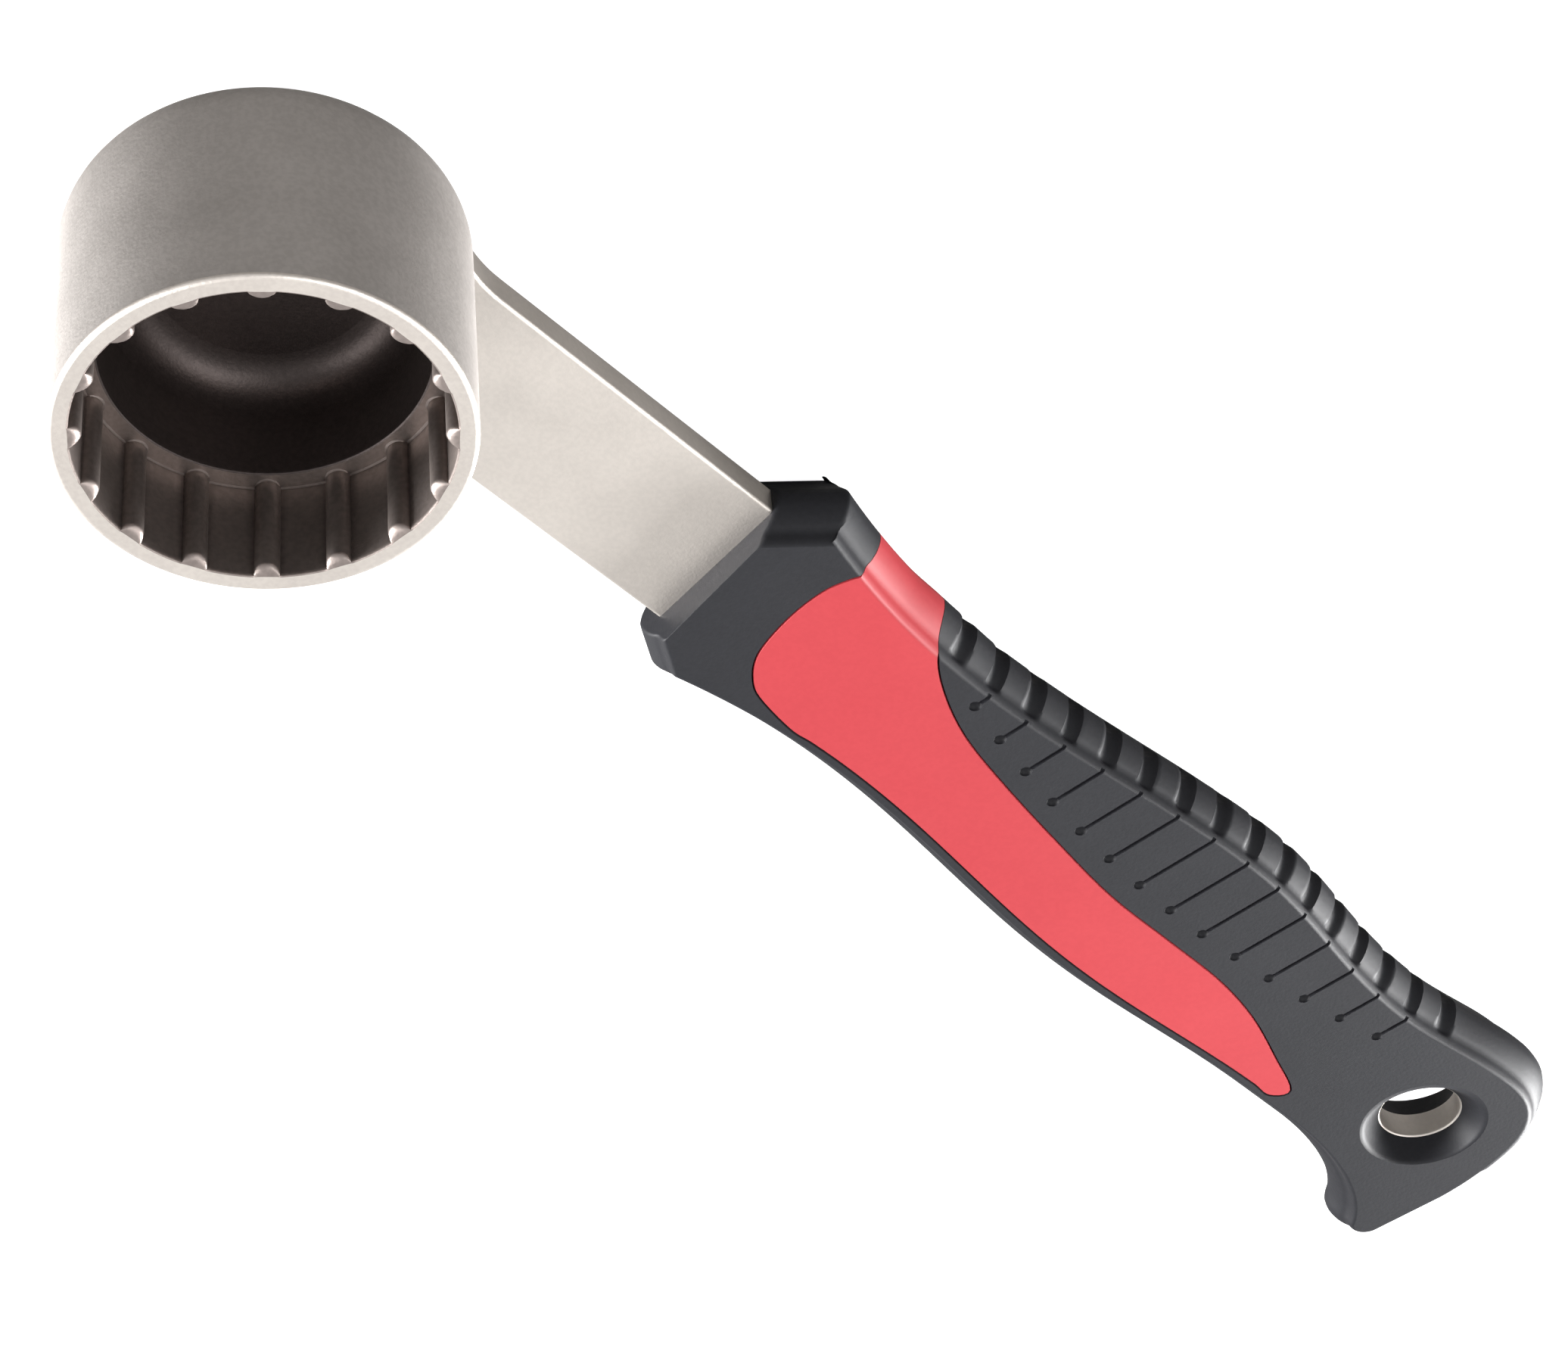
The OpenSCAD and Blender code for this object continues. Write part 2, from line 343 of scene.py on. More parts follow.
def surface_grain() -> bpy.types.NodeTree:
    """Builds the group for a fine even grain, as of blasting, plating or a spark-worn mould.

    Returns:
        The group. It puts out a normal and a roughness that vary with the grain.
    """
    group, nodes, given, out = new_group(
        "surface_grain",
        [
            ("Vector", VECTOR, None),
            ("Grain Size", NUMBER, 3000.0),
            ("Depth", NUMBER, 0.2),
            ("Roughness", NUMBER, 0.4),
            ("Variation", NUMBER, 0.05),
        ],
        [("Normal", VECTOR), ("Roughness", NUMBER)],
    )
    fine = nodes.add("ShaderNodeTexNoise")
    fine.inputs["Detail"].default_value = 3.0
    nodes.join(given.outputs["Vector"], fine.inputs["Vector"])
    nodes.join(given.outputs["Grain Size"], fine.inputs["Scale"])
    bump = nodes.add("ShaderNodeBump")
    bump.inputs["Distance"].default_value = 0.0002
    nodes.join(given.outputs["Depth"], bump.inputs["Strength"])
    nodes.join(fine.outputs[0], bump.inputs["Height"])
    nodes.join(bump.outputs[0], out.inputs["Normal"])
    broad = nodes.add("ShaderNodeTexNoise")
    broad.inputs["Scale"].default_value = 110.0
    broad.inputs["Detail"].default_value = 4.0
    nodes.join(given.outputs["Vector"], broad.inputs["Vector"])
    centred = nodes.math("SUBTRACT", broad.outputs[0], 0.5)
    change = nodes.math("MULTIPLY", centred, given.outputs["Variation"])
    rough = nodes.math("ADD", given.outputs["Roughness"], change)
    nodes.join(rough, out.inputs["Roughness"])
    return group


def mottled_colour() -> bpy.types.NodeTree:
    """Builds the group for a colour with slight cloudy and speckled variation.

    Returns:
        The group. It puts out the varied colour.
    """
    group, nodes, given, out = new_group(
        "mottled_colour",
        [
            ("Vector", VECTOR, None),
            ("Base", TINT, (0.5, 0.5, 0.5, 1.0)),
            ("Second", TINT, (0.4, 0.4, 0.4, 1.0)),
            ("Cloud Scale", NUMBER, 90.0),
            ("Speckle Scale", NUMBER, 1400.0),
        ],
        [("Color", TINT)],
    )
    parts = []
    for name, detail in (("Cloud Scale", 4.0), ("Speckle Scale", 1.0)):
        noise = nodes.add("ShaderNodeTexNoise")
        noise.inputs["Detail"].default_value = detail
        nodes.join(given.outputs["Vector"], noise.inputs["Vector"])
        nodes.join(given.outputs[name], noise.inputs["Scale"])
        parts.append(nodes.spread(noise.outputs[0], 0.3, 0.7, 0.0, 1.0))
    share = nodes.math("MULTIPLY", nodes.math("ADD", *parts), 0.5)
    colour = nodes.mix(share, given.outputs["Base"], given.outputs["Second"])
    nodes.join(colour, out.inputs["Color"])
    return group


def edge_wear_and_painted_light() -> bpy.types.NodeTree:
    """Builds the group for lighter edges, part rubbed wear and part painted highlight, and darker
    hollows, which are painted shade.

    Returns:
        The group. It puts out the colour and a mask of the lighter edges.
    """
    group, nodes, given, out = new_group(
        "edge_wear_and_painted_light",
        [
            ("Color", TINT, (0.5, 0.5, 0.5, 1.0)),
            ("Edge Color", TINT, (0.8, 0.8, 0.8, 1.0)),
            ("Hollow Color", TINT, (0.2, 0.2, 0.2, 1.0)),
            ("Edge Amount", NUMBER, 0.5),
            ("Hollow Amount", NUMBER, 0.5),
        ],
        [("Color", TINT), ("Edge", NUMBER)],
    )
    point = nodes.add("ShaderNodeNewGeometry").outputs["Pointiness"]
    # Pointiness drives both marks: convex edges turn lighter as rubbed wear and painted highlight, and
    # concave hollows turn darker as painted shade.
    edge = nodes.spread(point, 0.52, 0.58, 0.0, given.outputs["Edge Amount"])
    hollow = nodes.spread(point, 0.49, 0.44, 0.0, given.outputs["Hollow Amount"])
    lighter = nodes.mix(edge, given.outputs["Color"], given.outputs["Edge Color"])
    nodes.join(nodes.mix(hollow, lighter, given.outputs["Hollow Color"]), out.inputs["Color"])
    nodes.join(edge, out.inputs["Edge"])
    return group


@dataclass(frozen=True)
class Finish:
    """One finish. The shader's own numbers are plain, and colour, grain, and edge wear with painted
    highlight and hollow shade are groups.
    """

    name: str
    base: Colour
    second: Colour
    # edge is the colour of lighter edges, rubbed wear and painted highlight; hollow is the colour of
    # painted shade in hollows.
    edge: Colour
    hollow: Colour
    metallic: float
    roughness: float
    variation: float = 0.08
    grain_scale: float = 2600.0
    grain_depth: float = 0.15
    edge_amount: float = 0.4
    hollow_amount: float = 0.4
    coat: float = 0.0
    coat_roughness: float = 0.1
    specular: float = 0.5
    sheen: float = 0.0
    cloud_scale: float = 90.0

    def make(self, groups: dict[str, bpy.types.NodeTree]) -> bpy.types.Material:
        """Makes the material.

        Args:
            groups: The shared shader groups by name.

        Returns:
            The material.
        """
        material = bpy.data.materials.new(self.name)
        material.use_nodes = True
        nodes = Nodes(material.node_tree)
        shader = material.node_tree.nodes["Principled BSDF"]
        place = nodes.add("ShaderNodeTexCoord").outputs["Object"]
        mottle = nodes.add("ShaderNodeGroup", node_tree=groups["mottled_colour"])
        wear_and_painted_light = nodes.add("ShaderNodeGroup", node_tree=groups["edge_wear_and_painted_light"])
        grain = nodes.add("ShaderNodeGroup", node_tree=groups["surface_grain"])
        nodes.join(place, mottle.inputs["Vector"])
        nodes.join(place, grain.inputs["Vector"])
        mottle.inputs["Base"].default_value = (*self.base, 1.0)
        mottle.inputs["Second"].default_value = (*self.second, 1.0)
        mottle.inputs["Cloud Scale"].default_value = self.cloud_scale
        # Edge colour: rubbed wear and painted highlight on edges. Hollow colour: painted shade in
        # hollows.
        wear_and_painted_light.inputs["Edge Color"].default_value = (*self.edge, 1.0)
        wear_and_painted_light.inputs["Hollow Color"].default_value = (*self.hollow, 1.0)
        wear_and_painted_light.inputs["Edge Amount"].default_value = self.edge_amount
        wear_and_painted_light.inputs["Hollow Amount"].default_value = self.hollow_amount
        grain.inputs["Grain Size"].default_value = self.grain_scale
        grain.inputs["Depth"].default_value = self.grain_depth
        grain.inputs["Roughness"].default_value = self.roughness
        grain.inputs["Variation"].default_value = self.variation
        nodes.join(mottle.outputs["Color"], wear_and_painted_light.inputs["Color"])
        nodes.join(wear_and_painted_light.outputs["Color"], shader.inputs["Base Color"])
        nodes.join(grain.outputs["Roughness"], shader.inputs["Roughness"])
        nodes.join(grain.outputs["Normal"], shader.inputs["Normal"])
        shader.inputs["Metallic"].default_value = self.metallic
        shader.inputs["Specular IOR Level"].default_value = self.specular
        shader.inputs["Coat Weight"].default_value = self.coat
        shader.inputs["Coat Roughness"].default_value = self.coat_roughness
        shader.inputs["Sheen Weight"].default_value = self.sheen
        return material


PLATED_WALL = Finish(
    "satin_plating",
    base=(0.60, 0.565, 0.54),
    second=(0.50, 0.47, 0.447),
    edge=(0.86, 0.81, 0.77),
    hollow=(0.30, 0.28, 0.26),
    metallic=1.0,
    roughness=0.52,
    edge_amount=0.2,
    grain_scale=2200.0,
    grain_depth=0.22,
)
# A lighter copy of the wall's plating for the rim face: painted highlight on the face that meets the
# light.
PLATED_RIM = Finish(
    "rim_painted_highlight",
    base=(0.84, 0.78, 0.72),
    second=(0.74, 0.68, 0.63),
    edge=(0.95, 0.90, 0.85),
    hollow=(0.45, 0.42, 0.39),
    edge_amount=0.1,
    metallic=1.0,
    roughness=0.42,
    grain_scale=2200.0,
    grain_depth=0.18,
)
PLATED_BAR = Finish(
    "plated_bar",
    base=(0.70, 0.65, 0.60),
    second=(0.64, 0.595, 0.55),
    edge=(0.80, 0.78, 0.75),
    hollow=(0.40, 0.38, 0.36),
    metallic=1.0,
    roughness=0.46,
    grain_scale=2600.0,
    grain_depth=0.14,
)
# A darker copy of the plating for the teeth, flutes and tooth ends inside the mouth: painted shade inside
# the cup.
TOOTH_WALL = Finish(
    "tooth_wall_painted_shade",
    base=(0.30, 0.255, 0.235),
    second=(0.23, 0.195, 0.18),
    edge=(0.50, 0.45, 0.42),
    hollow=(0.08, 0.065, 0.06),
    metallic=0.9,
    roughness=0.45,
    edge_amount=0.3,
)
# A much darker copy of the plating for the bore and floor below the ledge: painted shade in the deep cup.
DARK_BORE = Finish(
    "bore_painted_shade",
    base=(0.080, 0.064, 0.060),
    second=(0.058, 0.046, 0.043),
    edge=(0.25, 0.22, 0.21),
    hollow=(0.015, 0.012, 0.011),
    metallic=0.75,
    roughness=0.40,
    edge_amount=0.15,
)
BLACK_RUBBER = Finish(
    "black_rubber",
    base=(0.0100, 0.0102, 0.0124),
    second=(0.0124, 0.0127, 0.0152),
    edge=(0.042, 0.043, 0.050),
    hollow=(0.012, 0.012, 0.016),
    metallic=0.0,
    roughness=0.55,
    grain_scale=1800.0,
    grain_depth=0.12,
    edge_amount=0.0,
    hollow_amount=0.0,
    specular=0.18,
    cloud_scale=60.0,
)
RED_PLASTIC = Finish(
    "red_plastic",
    base=(0.31, 0.028, 0.034),
    second=(0.285, 0.024, 0.030),
    edge=(0.62, 0.06, 0.065),
    hollow=(0.25, 0.008, 0.012),
    metallic=0.0,
    roughness=0.44,
    grain_scale=900.0,
    grain_depth=0.03,
    edge_amount=0.0,
    hollow_amount=0.0,
    specular=0.3,
    cloud_scale=40.0,
)


@dataclass
class Socket:
    """The cup with a ring of teeth in its mouth. Its axis is the frame's z axis."""

    wall_r: float = 25.0
    back_z: float = 4.5
    mouth_z: float = 42.5
    round_r: float = 7.0
    chamfer: float = 0.6
    flute_r: float = 22.5
    tooth_count: int = 16
    tooth_r: float = 1.6
    tooth_at: float = 22.6
    ledge_z: float = 27.5
    bore_r: float = 19.8
    floor_z: float = 12.0
    floor_round: float = 5.5
    soft_edge: float = 0.3
    tooth_steps: int = 14
    flute_steps: int = 10

    def mouth_points(self) -> list[Point]:
        """Goes once round the toothed mouth.

        Returns:
            Pairs of an angle and a radius. The teeth stand in from the flutes.
        """
        lean = (self.flute_r**2 - self.tooth_at**2 - self.tooth_r**2) / (
            2 * self.tooth_at * self.tooth_r
        )
        end = math.acos(min(max(-lean, -1.0), 1.0))
        half_tooth = math.atan2(
            self.tooth_r * math.sin(end), self.tooth_at - self.tooth_r * math.cos(end)
        )
        pitch = 2 * math.pi / self.tooth_count
        points: list[Point] = []
        for tooth in range(self.tooth_count):
            middle = tooth * pitch
            for k in range(self.tooth_steps + 1):
                turn = end * (2 * k / self.tooth_steps - 1)
                x = self.tooth_at - self.tooth_r * math.cos(turn)
                y = self.tooth_r * math.sin(turn)
                points.append((middle + math.atan2(y, x), math.hypot(x, y)))
            gap = pitch - 2 * half_tooth
            for k in range(1, self.flute_steps):
                points.append((middle + half_tooth + gap * k / self.flute_steps, self.flute_r))
        return points

    def plain_profile(self) -> list[Point]:
        """The outside from the back to the rim, as pairs of a radius and a height."""
        profile = [(self.wall_r - self.round_r, self.back_z)]
        for k in range(1, 13):
            turn = math.pi / 2 * k / 12
            profile.append(
                (
                    self.wall_r - self.round_r * (1 - math.sin(turn)),
                    self.back_z + self.round_r * (1 - math.cos(turn)),
                )
            )
        profile += [(self.wall_r, self.mouth_z - share * 15) for share in (1.6, 0.8)]
        for k in range(5):
            turn = math.pi / 2 * k / 4
            profile.append(
                (
                    self.wall_r - self.chamfer * (1 - math.cos(turn)),
                    self.mouth_z - self.chamfer * (1 - math.sin(turn)),
                )
            )
        return profile

    def bore_profile(self) -> list[Point]:
        """The inside from the ledge to the floor, as pairs of a radius and a height."""
        soft = self.soft_edge
        profile = [(self.bore_r + soft, self.ledge_z)]
        profile += [(self.bore_r + soft * 0.3, self.ledge_z - soft * 0.3)]
        profile += [(self.bore_r, self.ledge_z - soft)]
        profile += [(self.bore_r, self.floor_z + self.floor_round + 5)]
        for k in range(9):
            turn = math.pi / 2 * k / 8
            profile.append(
                (
                    self.bore_r - self.floor_round * (1 - math.cos(turn)),
                    self.floor_z + self.floor_round * (1 - math.sin(turn)),
                )
            )
        profile.append((6.0, self.floor_z))
        return profile

    def build(self, finishes: dict[str, bpy.types.Material]) -> None:
        """Builds the socket and dresses it.

        Args:
            finishes: The materials by name.
        """
        mouth = self.mouth_points()
        soft = self.soft_edge

        def ring(radius: float, z: float) -> list[Vector]:
            """One round ring."""
            return [Vector((radius * math.cos(a), radius * math.sin(a), z)) for a, _ in mouth]

        def toothed(out: float, z: float, keep: float = 1.0) -> list[Vector]:
            """One toothed ring that stands out from the teeth, which keep that share."""
            line = []
            for a, r in mouth:
                radius = self.flute_r + (r - self.flute_r) * keep + out
                line.append(Vector((radius * math.cos(a), radius * math.sin(a), z)))
            return line

        rings = [ring(r, z) for r, z in self.plain_profile()]
        top = self.mouth_z
        rings += [ring(self.flute_r + soft * 1.5, top), toothed(soft * 0.8, top, 0.1)]
        rings += [toothed(soft * 0.25, top - soft * 0.25, 0.3)]
        rings += [toothed(0.0, top - soft * 0.8, 0.6), toothed(0.0, top - soft * 1.8, 0.85)]
        rings += [toothed(0.0, top - soft * 3.2)]
        rings += [toothed(0.0, self.ledge_z + soft * share) for share in (1.0, 0.3)]
        rings += [toothed(-soft, self.ledge_z)]
        rings += [ring(r, z) for r, z in self.bore_profile()]
        piece = as_object(stacked(rings), "toothed_socket")
        # Copies of the plating go by where a face sits: painted highlight on the rim face, painted shade
        # on the teeth inside the mouth, and deeper painted shade on the bore and floor.
        for face in piece.data.polygons:
            middle = (face.center - in_frame((0, 0, 0))) / MM
            inside = math.hypot(middle.x, middle.y) < self.flute_r + soft * 0.6
            if middle.z > top - self.chamfer:
                face.material_index = 2 if inside and middle.z < top - soft * 0.05 else 1
            elif inside and middle.z > self.floor_z - 0.5:
                face.material_index = 2 if middle.z > self.ledge_z - 0.01 else 3
        names = ("satin_plating", "rim_painted_highlight", "tooth_wall_painted_shade", "bore_painted_shade")
        finish_piece(piece, [finishes[name] for name in names], "socket")


@dataclass
class HandleBar:
    """The flat bar that carries the socket and runs on through the grip."""

    width: float = 24.0
    thick: float = 4.5
    head_w: float = 35.0
    flare_r: float = 22.0
    flare_end: float = 29.0
    end_x: float = 265.0
    soft_edge: float = 0.5
    hole_x: float = 252.7
    hole_y: float = -1.8
    hole_r: float = 6.3
    hole_chamfer: float = 0.4

    def outline(self) -> list[Point]:
        """The bar seen from above, anticlockwise."""
        half, head = self.width / 2, self.head_w / 2
        centre_y = half + self.flare_r
        rise = centre_y - head
        start_x = self.flare_end - math.sqrt(self.flare_r**2 - rise**2)
        first = math.atan2(-rise, start_x - self.flare_end)
        last = -math.pi / 2
        upper: list[Point] = []
        for k in range(25):
            turn = math.pi / 2 * k / 24
            upper.append(
                (self.end_x - half + half * math.cos(turn), half * math.sin(turn))
            )
        for k in range(17):
            turn = last + (first - last) * k / 16
            upper.append(
                (self.flare_end + self.flare_r * math.cos(turn), centre_y + self.flare_r * math.sin(turn))
            )
        for k in range(33):
            turn = math.pi / 2 * (1 + k / 32)
            upper.append((head * math.cos(turn), head * math.sin(turn)))
        lower = [(x, -y) for x, y in reversed(upper[1:-1])]
        return upper + lower

    def blank(self) -> bmesh.types.BMesh:
        """The bar with soft edges and without its hole."""
        soft, steps = self.soft_edge, 5
        turns = [math.pi / 2 * k / steps for k in range(steps + 1)]
        lower = [(soft - soft * math.cos(t), -soft + soft * math.sin(t)) for t in turns]
        upper = [(self.thick - z, out) for z, out in reversed(lower)]
        return prism(self.outline(), lower + upper)

    def build(self, finishes: dict[str, bpy.types.Material]) -> None:
        """Builds the bar and dresses it."""
        piece = as_object(self.blank(), "flat_bar")
        flare = self.hole_r + self.hole_chamfer
        reach = 1.0
        profile = [
            (-reach, flare + reach),
            (0.0, flare),
            (self.hole_chamfer * 0.4, self.hole_r + self.hole_chamfer * 0.3),
            (self.hole_chamfer, self.hole_r),
        ]
        profile += [(self.thick - z, r) for z, r in reversed(profile)]
        rings = []
        for z, r in profile:
            turns = [2 * math.pi * k / 96 for k in range(96)]
            rings.append(
                [
                    Vector((self.hole_x + r * math.cos(t), self.hole_y + r * math.sin(t), z))
                    for t in turns
                ]
            )
        carve(piece, stacked(rings), Cut.AWAY)
        finish_piece(piece, [finishes["plated_bar"]], "handle_bar")


@dataclass
class Station:
    """One place on the grip's outline and the way it moves when the outline is drawn in."""

    at: Vector
    inward: Vector
    valley: float
    tuck: float
    ribbed: bool = False


@dataclass
class GripForm:
    """The moulded handle's shape, which the red insert and the black cover share."""

    front_x: float = 82.0
    length: float = 190.0
    half_t: float = 6.35
    mid_z: float = 2.25
    ridge_out: float = 4.1
    rake: float = 9.6
    front_halves: tuple[float, float] = (16.2, 13.8)
    front_back: float = 0.9
    front_lean: tuple[float, float] = (0.18, -0.02)
    front_round: float = 1.4
    collar_half: float = 20.6
    collar_corner: float = 5.0
    corner_round: float = 0.9
    waist_half: float = 15.9
    waist_at: float = 40.0
    belly_half: float = 20.3
    belly_at: float = 101.0
    neck_half: float = 16.0
    neck_at: float = 143.0
    neck_extra: float = 2.4
    pommel_half: float = 18.3
    heel_reach: float = 28.4
    heel_r: float = 6.0
    end_bow: float = 0.7
    rib_count: int = 16
    rib_pitch: float = 7.8
    rib_start: float = 36.0
    notch_depth: float = 1.05
    notch_r: float = 1.7
    section: tuple[Point, ...] = (
        (0, 0),
        (0.03, 0.16),
        (0.11, 0.3),
        (0.27, 0.47),
        (0.47, 0.62),
        (0.62, 0.7),
        (0.72, 0.78),
        (0.79, 0.88),
        (0.87, 0.955),
        (0.94, 0.99),
        (1.0, 1.0),
    )
    lower_section: tuple[Point, ...] = (
        (0, 0),
        (0.08, 0.16),
        (0.22, 0.3),
        (0.4, 0.47),
        (0.55, 0.62),
        (0.65, 0.7),
        (0.73, 0.78),
        (0.8, 0.88),
        (0.87, 0.955),
        (0.94, 0.99),
        (1.0, 1.0),
    )
    fine_step: float = 0.4
    step: float = 1.5

    def __post_init__(self) -> None:
        """Works out the places along the grip."""
        self.end_x = self.front_x + self.length
        self.corner_x = self.front_x + self.collar_corner
        self.waist_x = self.front_x + self.waist_at
        self.belly_x = self.front_x + self.belly_at
        self.neck_x = self.front_x + self.neck_at
        self.pommel_x = self.end_x - 20
        self.top_z = self.mid_z + self.half_t
        self.low_z = self.mid_z - self.half_t
        self.first_notch = self.front_x + self.rib_start
        self.last_notch = self.first_notch + (self.rib_count - 1) * self.rib_pitch

    def half_width(self, x: float, neck: float) -> float:
        """Half the grip's width at x, for the side with that half width at the neck."""
        if x < self.waist_x:
            share = (x - self.corner_x) / (self.waist_x - self.corner_x)
            return ease(self.collar_half, self.waist_half, share)
        if x < self.belly_x:
            share = (x - self.waist_x) / (self.belly_x - self.waist_x)
            return blend(self.waist_half, self.belly_half, share)
        share = min((x - self.belly_x) / (self.neck_x - self.belly_x), 1.0)
        return blend(self.belly_half, neck, share)

    def ribbed_half(self, x: float) -> float:
        """Half the width at x on the ribbed side."""
        if x <= self.neck_x:
            return self.half_width(x, self.neck_half)
        share = (x - self.neck_x) / (self.pommel_x - self.neck_x)
        return blend(self.neck_half, self.pommel_half, share)

    def plain_half(self, x: float) -> float:
        """Half the width at x on the plain side."""
        return self.half_width(x, self.neck_half + self.neck_extra)

    def places(self, start: float, end: float, step: float) -> list[float]:
        """Even places from start to end, both included."""
        count = max(round(abs(end - start) / step), 1)
        return [start + (end - start) * k / count for k in range(count + 1)]

    def ribbed_line(self) -> list[Point]:
        """The ribbed side from the collar's corner to the pommel."""
        start, end = self.first_notch - 3, self.last_notch + 3
        xs = self.places(self.corner_x, start, self.step)[:-1]
        xs += self.places(start, end, self.fine_step)[:-1]
        xs += self.places(end, self.pommel_x, self.step)[:-1]
        return [(x, self.ribbed_half(x)) for x in xs]

    def pommel_line(self) -> list[Point]:
        """The pommel's rounded corner, its straight end and its heel."""
        drop = self.pommel_half + 10
        line: list[Point] = []
        for k in range(46):
            turn = math.radians(2 * k)
            line.append(
                (
                    self.pommel_x + (self.end_x - self.pommel_x) * math.sin(turn) ** 0.8,
                    self.pommel_half - drop + drop * math.cos(turn) ** 0.8,
                )
            )
        heel_x, heel_y = self.end_x - self.heel_r, self.heel_r - self.heel_reach
        for k in range(29):
            turn = math.radians(136 * k / 28)
            line.append((heel_x + self.heel_r * math.cos(turn), heel_y - self.heel_r * math.sin(turn)))
        low, high = -self.heel_reach, 6.0
        bows = [math.sin(math.pi * min(max((y - low) / (high - low), 0.0), 1.0)) for _, y in line]
        return [(x + self.end_bow * bow * bow, y) for (x, y), bow in zip(line, bows)]

    def plain_line(self) -> list[Point]:
        """The heel's flank and the plain side back to the collar's corner."""
        heel_x, heel_y = self.end_x - self.heel_r, self.heel_r - self.heel_reach
        turn = math.radians(46)
        flank_x = heel_x - self.heel_r * math.sin(turn)
        flank_y = heel_y - self.heel_r * math.cos(turn)
        start = self.neck_x + 10
        side = self.plain_half(start)
        end = math.radians(71)
        line: list[Point] = []
        for k in range(33, 0, -1):
            a = end * k / 34
            line.append(
                (
                    start + (flank_x - start) * math.sin(a) / math.sin(end),
                    -side + (flank_y + side) * (1 - math.cos(a)) / (1 - math.cos(end)),
                )
            )
        xs = self.places(start, self.corner_x + 4.5, self.step)[:-1]
        return line + [(x, -self.plain_half(x)) for x in xs]

    def stations(self) -> list[Station]:
        """Goes round the grip with rounded collar corners.

        Returns:
            The stations, with the solid on their right.
        """
        tan = math.tan(math.radians(self.rake))
        middle = self.front_x + self.front_back
        sides = (-self.front_halves[0], self.front_halves[1])
        fronts = [(middle - y * tan, y) for y in sides]
        ribbed, pommel = self.ribbed_line(), self.pommel_line()
        last = self.corner_x + 4.5
        line = [*fronts, *ribbed, *pommel, *self.plain_line(), (last, -self.plain_half(last))]
        corners = {0, 1, 2, len(line) - 1}
        ribs = range(2, 2 + len(ribbed))
        count = len(line)
        normals = []
        for i in range(count):
            edge = (Vector(line[(i + 1) % count]) - Vector(line[i])).normalized()
            normals.append(Vector((edge.y, -edge.x)))
        made: list[Station] = []
        for i, point in enumerate(line):
            before, after = normals[i - 1], normals[i]
            share_a = self.front_lean[1] if i == 1 else 1.0
            share_b = self.front_lean[0] if i == 0 else 1.0
            valley = self.valley_share(point)
            tuck = self.tuck(point)
            inward = self.mitre(before, after, share_a, share_b)
            if i not in corners:
                made.append(Station(Vector(point), inward, valley, tuck, i in ribs))
                continue
            soft = self.front_round if i == 1 else self.corner_round
            centre = Vector(point) + self.mitre(before, after, 1.0, 1.0) * soft
            for k in range(7):
                facing = before.lerp(after, k / 6).normalized()
                made.append(Station(centre - facing * soft, inward, valley, tuck))
        return made

    @staticmethod
    def mitre(a: Vector, b: Vector, share_a: float, share_b: float) -> Vector:
        """The move of a corner when its edges, with normals a and b, move by their shares."""
        cosine = a.dot(b)
        if cosine > 0.995:
            return (a + b) * (share_a + share_b) / 2 / (1 + cosine)
        return (a * (share_a - share_b * cosine) + b * (share_b - share_a * cosine)) / (
            1 - cosine * cosine
        )

    def valley_share(self, point: Point) -> float:
        """How much of the hollow under the face's edge there is at a point of the outline."""
        x, y = point
        return 1 - 0.6 * smooth_step(self.end_x - 12, self.end_x - 1.5, x) * (y > 0)

    def tuck(self, point: Point) -> float:
        """How far the ridge stands in from the outline at a point of the outline."""
        x, y = point
        if y < 0:
            return 0.3
        collar = 0.35 * (1 - smooth_step(self.waist_x - 18, self.waist_x - 10, x))
        ribs = 0.45 * smooth_step(self.waist_x - 6, self.waist_x + 6, x)
        belly = 0.5 * math.exp(-(((x - self.waist_x - 38) / 20) ** 2))
        return collar + ribs + belly + 0.4 * math.exp(-(((x - self.pommel_x + 12) / 9) ** 2))

    def scoop(self, x: float, height: float) -> float:
        """How deep a notch goes at x, at a share of the half thickness."""
        place = round((x - self.first_notch) / self.rib_pitch)
        if not 0 <= place < self.rib_count:
            return 0.0
        away = abs(x - self.first_notch - place * self.rib_pitch)
        reach = math.sqrt(self.notch_r**2 - (self.notch_r - self.notch_depth) ** 2)
        if away > reach:
            return 0.0
        depth = math.sqrt(self.notch_r**2 - away * away) - (self.notch_r - self.notch_depth)
        return depth * (1 - smooth_step(0.62, 0.86, abs(height)))

    def body(self, notched: bool) -> bmesh.types.BMesh:
        """The whole handle as one closed skin.

        Args:
            notched: Whether the notches are cut across the ridge.

        Returns:
            The mesh.
        """
        stations = self.stations()
        levels = curve_through(self.section, 3)
        lower = curve_through(self.lower_section, 3)
        both = [(s, -h) for s, h in reversed(lower[1:])] + levels
        rings = []
        for share, height in both:
            plain = 1 - math.sqrt(max(1 - height * height, 0.0))
            ring = []
            for station in stations:
                mixed = share * station.valley + plain * (1 - station.valley)
                reach = self.ridge_out - station.tuck * (height > 0)
                drawn = station.tuck + reach * mixed
                if notched and station.ribbed:
                    drawn += self.scoop(station.at.x, height)
                spot = station.at + station.inward * drawn
                ring.append(Vector((spot.x, spot.y, self.mid_z + height * self.half_t)))
            rings.append(ring)
        return stacked(rings)


